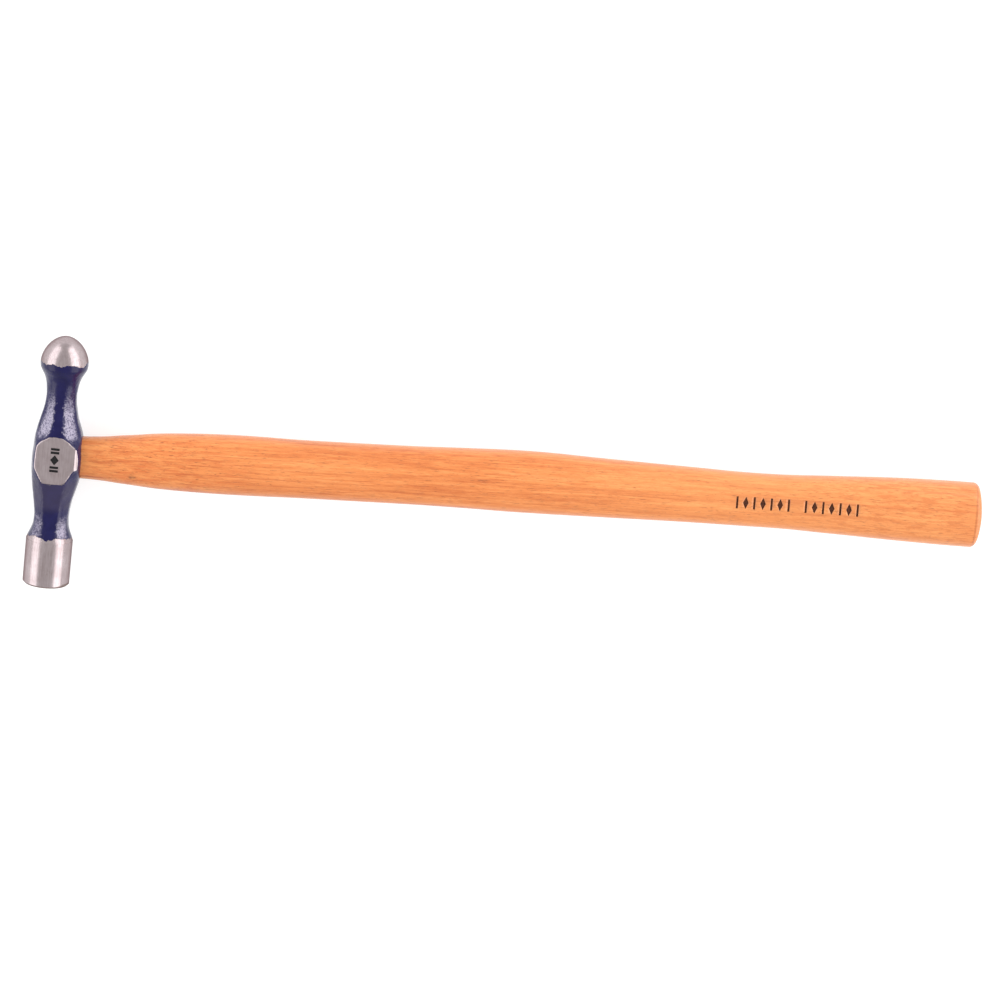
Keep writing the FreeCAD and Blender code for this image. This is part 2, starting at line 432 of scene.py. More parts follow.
def forge_head():
    """The closed skin of the forging, before the grinding of its cheeks."""
    bm = bmesh.new()
    previous = None
    pole = bm.verts.new((0, PEEN_TOP * MM, 0))
    for y, outs in head_rings():
        ring = []
        for i, out in enumerate(outs):
            turn = 2 * math.pi * i / AROUND
            out += lump(y, turn, out)
            ring.append(bm.verts.new((out * math.cos(turn) * MM, y * MM, out * math.sin(turn) * MM)))
        for i in range(AROUND):
            j = (i + 1) % AROUND
            if previous is None:
                bm.faces.new((pole, ring[i], ring[j]))
            else:
                bm.faces.new((previous[i], ring[i], ring[j], previous[j]))
        previous = ring
    pole = bm.verts.new((0, (FACE_RIM - FACE_CROWN) * MM, 0))
    for i in range(AROUND):
        bm.faces.new((previous[i], pole, previous[(i + 1) % AROUND]))
    bmesh.ops.recalc_face_normals(bm, faces=bm.faces)
    return bm


def grind(bm, edge, facing):
    """Grinds a flat through a point, square to a direction. The flat gets the second finish."""
    parts = bm.verts[:] + bm.edges[:] + bm.faces[:]
    cut = bmesh.ops.bisect_plane(bm, geom=parts, dist=1e-7, plane_co=Vector(edge) * MM, plane_no=facing,
                                 clear_outer=True)
    rim = [part for part in cut["geom_cut"] if isinstance(part, bmesh.types.BMEdge)]
    for face in bmesh.ops.holes_fill(bm, edges=rim, sides=0)["faces"]:
        face.material_index = 1


def ease_rims(bm):
    """A narrow bright chamfer round both cheeks, where the belt took off the sharp edge."""
    cheeks = [face for face in bm.faces if face.material_index == 1 and abs(face.normal.z) > 0.99]
    bands = bmesh.ops.inset_region(bm, faces=cheeks, thickness=RIM_WIDTH * MM)["faces"]
    ground = set(cheeks) | set(bands)
    inner = {vert for face in cheeks for vert in face.verts}
    for vert in {vert for band in bands for vert in band.verts} - inner:
        if all(face in ground or face.material_index == 0 for face in vert.link_faces):
            vert.co.z -= math.copysign(RIM_DROP * MM, vert.co.z)


def grind_cheeks(bm):
    """Both cheeks, the narrow facet that leads from each towards the handle, and their rims."""
    tilt = math.radians(FACET_TILT)
    for way in (1, -1):
        grind(bm, (0, 0, way * HALF_THICKNESS), (0, 0, way))
        grind(bm, (FACET_EDGE, 0, way * HALF_THICKNESS), (math.sin(tilt), 0, way * math.cos(tilt)))
    ease_rims(bm)


def eye_cutter():
    """The eye's hollow as a solid: narrowest inside, and eased where it comes out at each side."""
    places, heights, depths = (list(column) for column in zip(*EYE_SECTIONS))
    height = fair(places, heights)
    depth = fair(places, depths)
    bm = bmesh.new()
    rings = []
    for i in range(round((places[-1] - places[0]) / EYE_STEP) + 1):
        x = places[0] + EYE_STEP * i
        ease = max(0.0, abs(x) - EYE_MOUTH_START) * EYE_MOUTH_SLOPE
        ring = []
        for k in range(EYE_AROUND):
            turn = 2 * math.pi * k / EYE_AROUND
            y = (height(x) + ease) * math.cos(turn)
            z = (depth(x) + ease) * math.sin(turn) + HALF_THICKNESS
            ring.append(bm.verts.new(Vector((x, y, z)) * MM))
        rings.append(ring)
    for near, far in zip(rings, rings[1:]):
        for k in range(EYE_AROUND):
            j = (k + 1) % EYE_AROUND
            bm.faces.new((near[k], near[j], far[j], far[k]))
    bm.faces.new(rings[0])
    bm.faces.new(rings[-1])
    bmesh.ops.recalc_face_normals(bm, faces=bm.faces)
    return bm


def stand(name, bm):
    """An object of that mesh, in the scene."""
    mesh = bpy.data.meshes.new(name)
    bm.to_mesh(mesh)
    bm.free()
    piece = bpy.data.objects.new(name, mesh)
    bpy.context.scene.collection.objects.link(piece)
    return piece


def cut_away(piece, cutters):
    """Takes the cutters' shapes out of the piece and throws the cutters away."""
    for cutter in cutters:
        step = piece.modifiers.new("cut", "BOOLEAN")
        step.operation = "DIFFERENCE"
        step.solver = "EXACT"
        step.material_mode = "TRANSFER"
        step.object = cutter
    graph = bpy.context.evaluated_depsgraph_get()
    cut = bpy.data.meshes.new_from_object(piece.evaluated_get(graph))
    piece.modifiers.clear()
    piece.data = cut
    for cutter in cutters:
        bpy.data.objects.remove(cutter)


STEEL_DULL = (0.35, 0.285, 0.290)
STEEL = (0.40, 0.335, 0.345)
STEEL_BRIGHT = (0.46, 0.400, 0.410)
STEEL_STREAK = (0.60, 0.530, 0.540)
STEEL_PIT = (0.22, 0.180, 0.180)


def bare_steel(finish):
    """Colour, roughness and grain of ground steel, with rings from the belt and scuffs along the head."""
    rings = finish.cloud(finish.stretched((0.12, 5.5, 0.12)), 1.0, 3.0, 0.6)
    scuffs = finish.cloud(finish.stretched((2.6, 0.16, 2.6)), 1.0, 4.0, 0.65)
    tone = finish.cloud(finish.place, 0.22, 3.0, 0.6)
    colour = finish.graded(tone, (0.30, STEEL_DULL), (0.55, STEEL), (0.80, STEEL_BRIGHT))
    colour = finish.overlaid(colour, finish.between(scuffs, 0.40, 0.62), 0.26, STEEL_STREAK)
    pits = finish.between(finish.cloud(finish.place, 2.6, 3.0, 0.6), 0.62, 0.72)
    colour = finish.overlaid(colour, pits, 0.35, STEEL_PIT)
    grain = finish.plus(finish.times(rings, 0.6), finish.times(scuffs, 0.4))
    return colour, finish.plus(0.21, finish.times(grain, 0.10)), grain


SHEEN_NECK = (6.6, 10.0, 14.0, 26.0)  # along the head, where each pair of painted highlight patches fades in and out
SHEEN_WAIST = (-29.5, -26.5, -23.5, -17.0)
CHEEK_LIP = (0.45, 0.62)  # below the cheek's level, the coat is thick again
HAZED = (-19.5, -15.5, -8.5, -5.0)
ENAMEL_THIN = (0.002, 0.002, 0.046)
ENAMEL_DEEP = (0.006, 0.006, 0.064)
ENAMEL_HAZE = (0.12, 0.10, 0.13)
# pale lavender painted highlight, standing in for the soft boxes' reflection on the slanting facets
ENAMEL_PAINTED_SHEEN = (0.44, 0.405, 0.52)
ENAMEL_GLINT = (0.40, 0.34, 0.34, 1)


def painted_facet_sheen(finish, height):
    """Painted highlight: ragged pale grainy patches on the slanting facets of both necks, standing in for the
    soft boxes' reflection in the enamel.
    """
    tear = finish.wobble(finish.place, 0.75, 4.0, 0.7)
    drift = finish.wobble(finish.place, 0.16, 1.0)
    across = finish.over(finish.size(finish.x), finish.plus(height, 0.01))
    inner = finish.plus(0.20, finish.times(finish.between(finish.y, 0.0, -10.0), 0.20))
    slant = finish.minus(finish.plus(across, finish.times(tear, 0.7)), inner)
    line = finish.plus(finish.y, finish.plus(finish.times(tear, 5.0), finish.times(drift, 7.0)))
    patch = finish.sum("MAXIMUM", finish.along(line, SHEEN_NECK), finish.along(line, SHEEN_WAIST))
    patch = finish.times(patch, finish.along(slant, (0.0, 0.16, 0.7, 1.9)))
    lip_start, lip_end = CHEEK_LIP
    patch = finish.times(patch, finish.between(height, HALF_THICKNESS - lip_start, HALF_THICKNESS - lip_end))
    weak_side = finish.times(finish.between(finish.y, -10.0, -18.0), finish.between(finish.x, 0.0, -3.0))
    patch = finish.times(patch, finish.minus(1.0, finish.times(weak_side, 0.38)))
    grains = finish.cloud(finish.place, 1.9, 5.0, 0.85)
    speckle = finish.between(finish.plus(grains, finish.times(patch, 0.10)), 0.47, 0.66)
    return finish.times(patch, finish.plus(0.03, finish.times(speckle, 0.92)))


def enamel_colour(finish, height):
    """Deep blue, darker where it ran thin, hazed over on the lower neck, and with pale painted highlights on
    the slanting facets.
    """
    pool = finish.cloud(finish.place, 0.30, 2.0)
    enamel = finish.graded(pool, (0.30, ENAMEL_THIN), (0.70, ENAMEL_DEEP))
    enamel = finish.overlaid(enamel, finish.along(finish.y, HAZED), 0.20, ENAMEL_HAZE)
    # the pale patches laid over the blue are painted highlight from the soft boxes
    return finish.blend(painted_facet_sheen(finish, height), enamel, ENAMEL_PAINTED_SHEEN)


PEEN_LINE = (32.80, 32.95)  # along the head, from enamel to bare steel
POLL_LINE = (-27.40, -27.58)
WORN_RIM = (0.10, 0.05)  # below the cheek's level, where the enamel was ground off with it
# painted shade: a dark brownish line over the struck face's chamfer, narrower on the handle's side
FACE_RIM_SHADE = (-43.75, -44.15)
FACE_RIM_SHADE_BROWN = (0.16, 0.12, 0.10)
COAT_DEPTH = 0.05


def head_finish():
    """Blue enamel on the necks and the eye block, and bare steel beyond a ragged line on peen and poll."""
    finish = Finish("enamel and bare steel", turned=-HEAD_LEAN, centre=(0, 0, HALF_THICKNESS))
    colour, rough, grain = bare_steel(finish)
    sway = finish.wobble(finish.place, 0.24, 1.0)
    fray = finish.wobble(finish.place, 1.1, 3.0, 0.6)
    line = finish.plus(finish.y, finish.plus(finish.times(sway, 2.2), finish.times(fray, 1.7)))
    bare = finish.sum("MAXIMUM", finish.between(line, *PEEN_LINE), finish.between(line, *POLL_LINE))
    height = finish.plus(finish.size(finish.z), finish.times(fray, 0.16))
    worn = finish.between(height, *(HALF_THICKNESS - below for below in WORN_RIM))
    bare = finish.sum("MAXIMUM", bare, finish.times(worn, finish.between(finish.y, 5.5, 3.5)))
    painted = finish.minus(1.0, bare)
    # painted shade along the face's chamfer, narrower on the handle's side
    overlay = finish.plus(finish.y, finish.times(fray, 0.35))
    overlay = finish.minus(overlay, finish.times(finish.between(finish.x, 3.0, 7.0), 0.7))
    colour = finish.overlaid(colour, finish.between(overlay, *FACE_RIM_SHADE), 0.72, FACE_RIM_SHADE_BROWN)
    finish.set(Base_Color=finish.blend(bare, enamel_colour(finish, height), colour), Metallic=bare)

    lumps = finish.cloud(finish.place, 0.85, 2.5, 0.55)
    peel = finish.cloud(finish.place, 3.4, 2.0, 0.5)
    coat_rough = finish.plus(0.18, finish.times(peel, 0.14))
    finish.set(Roughness=finish.plus(finish.times(rough, bare), finish.times(coat_rough, painted)))
    finish.set(Specular_IOR_Level=0.35, Specular_Tint=ENAMEL_GLINT)
    finish.set(Coat_Weight=finish.times(painted, 0.35), Coat_Roughness=0.14)
    skin = finish.plus(finish.times(lumps, 0.7), finish.times(peel, 0.22))
    coat_relief = finish.relief(finish.times(skin, painted), 0.17)
    edge_relief = finish.relief(painted, COAT_DEPTH, coat_relief)
    finish.set(Normal=finish.relief(finish.times(grain, bare), 0.012, edge_relief))
    return finish.material


def cheek_finish():
    """Satin ground steel, brushed along the head."""
    finish = Finish("ground cheek", turned=-HEAD_LEAN, centre=(0, 0, HALF_THICKNESS))
    colour, rough, grain = bare_steel(finish)
    finish.set(Base_Color=colour, Metallic=1.0, Roughness=finish.plus(0.06, rough))
    finish.set(Normal=finish.relief(grain, 0.010))
    return finish.material


STAMP_MIDDLE = (0.1, 0.6)
STAMP_BAR = (1.45, 0.42)  # half width and half height of each bar of the stamped mark
STAMP_BARS = (2.55, 3.75)  # how far the bars stand above and below its middle
STAMP_LOZENGE = (1.45, 1.75)
STAMP_DEPTH = 0.15


def stamp_cutter():
    """The stamp, a lozenge between bars, as prisms that sink into the upper cheek."""
    width, height = STAMP_LOZENGE
    outlines = [[(width, 0), (0, height), (-width, 0), (0, -height)]]
    width, height = STAMP_BAR
    for y in [way * place for place in STAMP_BARS for way in (1, -1)]:
        low, high = y - height, y + height
        outlines.append([(width, low), (width, high), (-width, high), (-width, low)])
    bm = bmesh.new()
    for outline in outlines:
        floor = [bm.verts.new((x, y, -STAMP_DEPTH)) for x, y in outline]
        top = [bm.verts.new((x, y, 1.0)) for x, y in outline]
        bm.faces.new(floor[::-1])
        bm.faces.new(top)
        for i in range(4):
            j = (i + 1) % 4
            bm.faces.new((floor[i], floor[j], top[j], top[i]))
    turn = Matrix.Translation(Vector((*STAMP_MIDDLE, 2 * HALF_THICKNESS)) * MM)
    turn @= Matrix.Rotation(math.radians(-HEAD_LEAN), 4, "Z") @ Matrix.Scale(MM, 4)
    bmesh.ops.transform(bm, matrix=turn, verts=bm.verts)
    return bm


def stamp_finish():
    """Black paint wiped into the stamp, with a little steel grit in it."""
    finish = Finish("black in the stamp")
    grit = finish.cloud(finish.place, 2.2, 4.0, 0.65)
    colour = finish.graded(grit, (0.40, (0.004, 0.004, 0.005)), (0.75, (0.022, 0.020, 0.021)))
    finish.set(Base_Color=colour, Roughness=finish.plus(0.45, finish.times(grit, 0.3)))
    finish.set(Specular_IOR_Level=0.2, Normal=finish.relief(grit, 0.03))
    return finish.material


def make_head():
    bm = forge_head()
    grind_cheeks(bm)
    turn = Matrix.Translation((0, 0, HALF_THICKNESS * MM)) @ Matrix.Rotation(math.radians(-HEAD_LEAN), 4, "Z")
    bmesh.ops.transform(bm, matrix=turn, verts=bm.verts)
    head = stand("forged_head", bm)
    enamel, ground, black = head_finish(), cheek_finish(), stamp_finish()
    for finish in (enamel, ground, black):
        head.data.materials.append(finish)
    eye = stand("eye cutter", eye_cutter())
    eye.data.materials.append(enamel)
    stamp = stand("stamp cutter", stamp_cutter())
    stamp.data.materials.append(black)
    cut_away(head, [eye, stamp])
    head.data.shade_smooth()
    head.data.set_sharp_from_angle(angle=math.radians(28))
    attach(head, "root")
    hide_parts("head")


make_head()

# ---------------------------------------------------------------- the handle
# A hickory stick, shaved to an oval that swells at the belly and at the butt, then lacquered all over.
# Its other end, the tenon, fills the eye and is split for the wedges. Small marks are burnt into the grip.
TENON_END = -7.75
TENON_END_RADIUS = 36.0
BUTT_END = 312.9
BUTT_DOME_RADIUS = 32.0
BUTT_EDGE = 1.5
BUTT_HALF_HEIGHT = 11.0
SQUARENESS = 2.35  # 2 is an ellipse, more is squarer
TENON_SECTIONS = EYE_SECTIONS[:2] + [(4.6, 6.57, 4.17)]  # the eye's own, and one just short of the shoulder
HANDLE_SECTIONS = [  # x, middle, half height, half depth
    (5.9, 0.06, 7.08, 5.34),
    (11.0, 0.10, 7.20, 5.50),
    (23.0, 0.25, 8.25, 6.10),
    (43.0, 0.60, 9.80, 7.10),
    (61.0, 0.80, 10.12, 7.55),
    (86.0, 0.90, 9.82, 7.45),
    (119.0, 1.22, 9.88, 7.35),
    (138.0, 1.45, 10.20, 7.45),
    (157.0, 1.50, 10.50, 7.60),
    (186.0, 1.10, 9.95, 7.40),
    (213.0, 0.75, 9.40, 7.10),
    (238.0, 0.35, 9.10, 7.00),
    (262.0, 0.35, 9.80, 7.50),
    (286.0, 0.30, 10.65, 8.20),
    (304.0, 0.10, 10.95, 8.48),
    (318.0, -0.05, 11.00, 8.48),
]
SHAVING = 0.03  # the tenon is that much smaller than the eye all round
STICK_STEPS = 340
STICK_AROUND = 120
NET_SHARES = (0.03, 0.94, 0.965)  # along the net, where the side, the butt's edge and its end begin
BURNT_COUNT = 15
BURNT_PITCH = 2.9
BURNT_MIDDLE = (249.8, 0.85)
BURNT_HALF_HEIGHT = 2.1
BURNT_HALF_WIDTH = 0.95
BURNT_DEPTH = 0.28
BAR_SLIMNESS = 0.36  # a bar's width beside a lozenge's
STICK_START = -10.0  # the span over which the sections are drawn
STICK_STOP = 320.0
SECTION_TOP = 12.0


def run_nodes(piece, shaper, **values):
    """Runs a tree on the piece, and makes what comes out its plain mesh."""
    step = piece.modifiers.new("shape", "NODES")
    step.node_group = shaper.tree
    for item in shaper.tree.interface.items_tree:
        label = item.name.replace(" ", "_")
        if label in values:
            step[item.identifier] = values[label]
    graph = bpy.context.evaluated_depsgraph_get()
    made = bpy.data.meshes.new_from_object(piece.evaluated_get(graph))
    piece.modifiers.clear()
    piece.data = made


class Shaper(Wiring):
    """A tree that shapes a mesh, with inputs that have names."""

    def __init__(self, name, **kinds):
        self.tree = bpy.data.node_groups.new(name, "GeometryNodeTree")
        shelf = self.tree.interface
        shelf.new_socket("Geometry", in_out="INPUT", socket_type="NodeSocketGeometry")
        shelf.new_socket("Geometry", in_out="OUTPUT", socket_type="NodeSocketGeometry")
        for label, kind in kinds.items():
            shelf.new_socket(label.replace("_", " "), in_out="INPUT", socket_type="NodeSocket" + kind)
        self.given = self.tree.nodes.new("NodeGroupInput").outputs

    def finish(self, geometry, material):
        whole = self.add("GeometryNodeRealizeInstances", Geometry=geometry).outputs[0]
        whole = self.add("GeometryNodeSetMaterial", Geometry=whole, Material=material).outputs[0]
        self.feed(self.tree.nodes.new("NodeGroupOutput").inputs[0], whole)

    def ramp(self, value, low, high, start=0.0, stop=1.0):
        """Goes straight from start at low to stop at high, and stays level beyond."""
        return self.add("ShaderNodeMapRange", Value=value, From_Min=low, From_Max=high, To_Min=start,
                        To_Max=stop).outputs[0]

    def section(self, x, column, lift=0.0):
        """One measure of the stick's section, read at x from a fair curve through the drawn sections."""
        rows = [(at, 0.0, height - SHAVING, depth - SHAVING) for at, height, depth in TENON_SECTIONS]
        rows += HANDLE_SECTIONS
        span = STICK_STOP - STICK_START
        spots = [((row[0] - STICK_START) / span, (row[column] + lift) / SECTION_TOP) for row in rows]
        curve = self.add("ShaderNodeFloatCurve", Value=self.ramp(x, STICK_START, STICK_STOP))
        line = curve.mapping.curves[0]
        line.points[0].location, line.points[1].location = spots[0], spots[-1]
        for spot in spots[1:-1]:
            line.points.new(*spot)
        for point in line.points:
            point.handle_type = "AUTO_CLAMPED"
        curve.mapping.update()
        return self.minus(self.times(curve.outputs[0], SECTION_TOP), lift)

    def squared(self, wave, power):
        """A cosine or sine pushed outwards, so that a circle becomes a squarer oval."""
        return self.times(self.sum("SIGN", wave), self.sum("POWER", self.size(wave), power))


def stick_shaper():
    """Wraps a square net round the sections: one side becomes the tenon's end, and the other the butt."""
    shaper = Shaper("shaved stick", Steps="Int", Around="Int", Squareness="Float", Butt_End="Float",
                    Butt_Edge="Float", Dome_Radius="Float", Tenon_End="Float", Tenon_Radius="Float",
                    Wood="Material")
    given = shaper.given
    net = shaper.add("GeometryNodeMeshGrid", Size_X=1.0, Size_Y=1.0, Vertices_X=given["Steps"],
                     Vertices_Y=given["Around"])
    spot = shaper.parts(shaper.add("GeometryNodeInputPosition").outputs[0])
    along = shaper.plus(spot[0], 0.5)
    turn = shaper.times(spot[1], -2 * math.pi)
    side_start, edge_start, edge_end = NET_SHARES
    tenon_face = shaper.ramp(along, 0.0, side_start)
    side = shaper.ramp(along, side_start, edge_start)
    edge = shaper.ramp(along, edge_start, edge_end, 0.0, math.pi / 2)
    butt_face = shaper.ramp(along, edge_end, 1.0, 1.0, 0.0)

    length = shaper.minus(shaper.minus(given["Butt End"], given["Tenon End"]), given["Butt Edge"])
    x = shaper.plus(given["Tenon End"], shaper.times(side, length))
    slim = shaper.over(given["Butt Edge"], BUTT_HALF_HEIGHT)
    slim = shaper.times(slim, shaper.minus(1.0, shaper.sum("COSINE", edge)))
    size = shaper.times(shaper.times(tenon_face, butt_face), shaper.minus(1.0, slim))
    shoulder = shaper.ramp(x, TENON_SECTIONS[-1][0], HANDLE_SECTIONS[0][0], 2.0, given["Squareness"])
    power = shaper.over(2.0, shoulder)
    up = shaper.times(shaper.squared(shaper.sum("COSINE", turn), power), shaper.section(x, 2))
    out = shaper.times(shaper.squared(shaper.sum("SINE", turn), power), shaper.section(x, 3))
    y = shaper.times(up, size)
    z = shaper.times(out, size)

    tip = shaper.plus(x, shaper.times(given["Butt Edge"], shaper.sum("SINE", edge)))
    spread = shaper.plus(shaper.times(y, y), shaper.times(z, z))
    fall = shaper.over(spread, shaper.times(2.0, given["Dome Radius"]))
    fall = shaper.times(fall, shaper.ramp(x, 270.0, 305.0))
    ease = shaper.over(shaper.times(y, y), shaper.times(2.0, given["Tenon Radius"]))
    ease = shaper.times(ease, shaper.ramp(x, -3.0, 3.0, 1.0, 0.0))
    tip = shaper.plus(shaper.minus(tip, fall), ease)
    place = shaper.add("ShaderNodeCombineXYZ", X=tip, Y=shaper.plus(y, shaper.section(x, 1, 3.0)),
                       Z=shaper.plus(z, HALF_THICKNESS))
    wrapped = shaper.add("GeometryNodeSetPosition", Geometry=net.outputs[0], Position=place.outputs[0])
    closed = shaper.add("GeometryNodeMergeByDistance", Geometry=wrapped.outputs[0], Distance=0.002)
    closed = shaper.add("GeometryNodeTransform", Geometry=closed.outputs[0], Scale=(MM, MM, MM))
    shaper.finish(closed.outputs[0], given["Wood"])
    return shaper


def mark_shaper():
    """A row of lozenges and upright bars, with a gap in its middle, each set square on the wood below it."""
    shaper = Shaper("row of burnt marks", Count="Int", Pitch="Float", Half_Height="Float", Half_Width="Float",
                    Depth="Float", Middle_X="Float", Middle_Y="Float", Char="Material")
    given = shaper.given
    ends = shaper.times(given["Pitch"], shaper.minus(given["Count"], 1.0))
    first = shaper.minus(given["Middle X"], shaper.times(ends, 0.5))
    start = shaper.add("ShaderNodeCombineXYZ", X=first, Y=given["Middle Y"], Z=40 * MM)
    step = shaper.add("ShaderNodeCombineXYZ", X=given["Pitch"])
    row = shaper.add("GeometryNodeMeshLine", Count=given["Count"], Start_Location=start.outputs[0],
                     Offset=step.outputs[0])
    hit = shaper.add("GeometryNodeRaycast", Target_Geometry=given["Geometry"], Ray_Direction=(0, 0, -1),
                     Ray_Length=1.0)
    seated = shaper.add("GeometryNodeSetPosition", Geometry=row.outputs[0],
                        Position=hit.outputs["Hit Position"])
    normal = shaper.parts(hit.outputs["Hit Normal"])
    facing = shaper.add("ShaderNodeCombineXYZ", Y=shaper.sum("ARCTAN2", normal[0], normal[2]))
    number = shaper.add("GeometryNodeInputIndex").outputs[0]
    middle = shaper.times(0.5, shaper.minus(given["Count"], 1.0))
    off = shaper.size(shaper.minus(number, middle))
    kept = shaper.sum("GREATER_THAN", off, 0.5)
    odd = shaper.sum("MODULO", number, 2.0)
    thick = shaper.times(given["Depth"], 2.0)
    lozenge = shaper.add("GeometryNodeMeshCylinder", Vertices=4, Radius=1.0, Depth=1.0)
    bar = shaper.add("GeometryNodeMeshCylinder", Vertices=4, Radius=math.sqrt(2), Depth=1.0)
    square = shaper.add("GeometryNodeTransform", Geometry=bar.outputs[0], Rotation=(0, 0, math.pi / 4))
    slim = shaper.times(given["Half Width"], BAR_SLIMNESS)
    rows = []
    for shape, width, chosen in ((lozenge, given["Half Width"], odd), (square, slim, shaper.minus(1.0, odd))):
        size = shaper.add("ShaderNodeCombineXYZ", X=width, Y=given["Half Height"], Z=thick)
        put = shaper.add("GeometryNodeInstanceOnPoints", Points=seated.outputs[0], Instance=shape.outputs[0],
                         Selection=shaper.times(kept, chosen), Rotation=facing.outputs[0],
                         Scale=size.outputs[0])
        rows.append(put.outputs[0])
    both = shaper.add("GeometryNodeJoinGeometry")
    for made in rows:
        shaper.tree.links.new(made, both.inputs[0])
    shaper.finish(both.outputs[0], given["Char"])
    return shaper


KNOT = (26.0, -4.3)
RED_LINE = 3.1  # a reddish growth ring that shows on the grip, this far above the middle
BUTT_RIM = 310.3  # where the domed end was sanded off, a thin darker line
TREE_HEART = (-26.0, 44.0)  # where the middle of the tree was, in y and z
RING_WIDTH = 2.7
DARK_FIBRE, FAIR_FIBRE, PALE_FIBRE = (0.56, 0.138, 0.030), (0.740, 0.236, 0.060), (0.86, 0.325, 0.100)
LATE_WOOD = (0.52, 0.125, 0.026)
DARK_SILK, PALE_SILK = (0.54, 0.145, 0.034), (0.90, 0.370, 0.125)
PALE_GRIP = (0.90, 0.400, 0.135)
PORE_BROWN = (0.30, 0.085, 0.025)
# painted shade on the lower side of the stick near the head
LOWER_SIDE_SHADE_BROWN = (0.46, 0.150, 0.045)
FLECK_BROWN = (0.24, 0.045, 0.012)
KNOT_BROWN = (0.16, 0.045, 0.014)
STREAK_RED = (0.44, 0.090, 0.018)
RED_WOOD = (0.52, 0.10, 0.020)
BLUSH, GLOW = (0.58, 0.115, 0.020), (0.86, 0.330, 0.095)
EYE_STAIN = (0.42, 0.16, 0.035)
# painted shade on the stick's flanks that face across the board
EDGE_SHADE_BROWN = (0.44, 0.150, 0.050)
HANDLED_WOOD = (0.56, 0.150, 0.034)
BUTT_WOOD = (0.66, 0.200, 0.055)
RIM_BROWN = (0.36, 0.090, 0.020)
END_GRAIN = (0.52, 0.17, 0.055)
SCORCH = (0.35, 0.12, 0.04)


def growth_rings(finish, sway):
    """The darker late wood of each year's ring."""
    heart_y, heart_z = TREE_HEART
    y = finish.minus(finish.plus(finish.y, finish.times(sway, 5.0)), heart_y)
    from_heart = finish.distance(y, finish.minus(finish.z, heart_z))
    ring = finish.sum("FRACT", finish.over(from_heart, RING_WIDTH))
    return finish.times(finish.between(ring, 0.15, 0.80), finish.between(ring, 1.0, 0.90))


def straight_grain(finish, fibres, mottle, sway):
    """Fibres and silky figure over the rings, growing paler towards the grip."""
    bands = finish.cloud(finish.stretched((0.014, 0.34, 0.34), (0, 7, 0)), 1.0, 2.0)
    tone = finish.plus(finish.times(fibres, 0.45), finish.times(bands, 0.30))
    tone = finish.plus(tone, finish.times(mottle, 0.25))
    wood = finish.graded(tone, (0.38, DARK_FIBRE), (0.50, FAIR_FIBRE), (0.62, PALE_FIBRE))
    wood = finish.overlaid(wood, growth_rings(finish, sway), 0.16, LATE_WOOD)
    silk = finish.cloud(finish.stretched((0.22, 5.0, 5.0), (40, 0, 0)), 1.0, 3.0, 0.65)
    wood = finish.overlaid(wood, finish.between(silk, 0.53, 0.68), 0.50, DARK_SILK)
    wood = finish.overlaid(wood, finish.between(silk, 0.44, 0.34), 0.40, PALE_SILK)
    return finish.overlaid(wood, finish.between(finish.x, 130.0, 270.0), 0.30, PALE_GRIP)


def flecked_and_shaded(finish, wood):
    """Flecks, dark streaks and one small knot, mostly near the head and along the lower side, and painted
    shade on the lower side near the head.
    """
    # painted shade: the lower side near the head, which faces away from the light, darkened in the colour;
    # the flecks also gather there
    lower_side_shade = finish.times(finish.between(finish.y, -3.5, -9.0), finish.between(finish.x, 190.0, 40.0))
    near_head = finish.plus(finish.between(finish.x, 105.0, 15.0), finish.times(lower_side_shade, 0.7))
    wood = finish.overlaid(wood, lower_side_shade, 0.34, LOWER_SIDE_SHADE_BROWN)
    flecks = finish.cloud(finish.stretched((0.45, 2.8, 2.8), (9, 2, 5)), 1.0, 3.0, 0.6)
    fleck = finish.between(finish.plus(flecks, finish.times(near_head, 0.062)), 0.66, 0.74)
    wood = finish.overlaid(wood, fleck, 0.75, FLECK_BROWN)
    knot_x, knot_y = KNOT
    across = finish.times(finish.minus(finish.x, knot_x), 0.55)
    up = finish.plus(finish.minus(finish.y, knot_y), finish.times(finish.minus(flecks, 0.5), 3.0))
    knot = finish.between(finish.distance(across, up), 1.0, 0.35)
    wood = finish.overlaid(wood, finish.times(knot, finish.between(finish.z, 10.0, 12.0)), 0.70, KNOT_BROWN)
    streaks = finish.cloud(finish.stretched((0.018, 1.0, 1.0), (5, 5, 5)), 1.0, 3.0)
    strength = finish.plus(0.22, finish.times(near_head, 0.62))
    return finish.overlaid(wood, finish.between(streaks, 0.56, 0.72), strength, STREAK_RED)


def reddened(finish, wood, mottle, sway):
    """A red line along the grip, a warm mottle near the head, and a stain by the eye."""
    from_line = finish.size(finish.plus(finish.minus(finish.y, RED_LINE), finish.times(sway, 1.5)))
    red_line = finish.times(finish.between(from_line, 0.55, 0.05), finish.between(finish.x, 235.0, 275.0))
    wood = finish.overlaid(wood, red_line, 0.38, RED_WOOD)
    throat = finish.between(finish.x, 95.0, 35.0)
    wood = finish.overlaid(wood, finish.times(finish.between(mottle, 0.50, 0.64), throat), 0.55, BLUSH)
    wood = finish.overlaid(wood, finish.times(finish.between(mottle, 0.50, 0.38), throat), 0.45, GLOW)
    return finish.overlaid(wood, finish.between(finish.x, 26.0, 8.0), 0.24, EYE_STAIN)


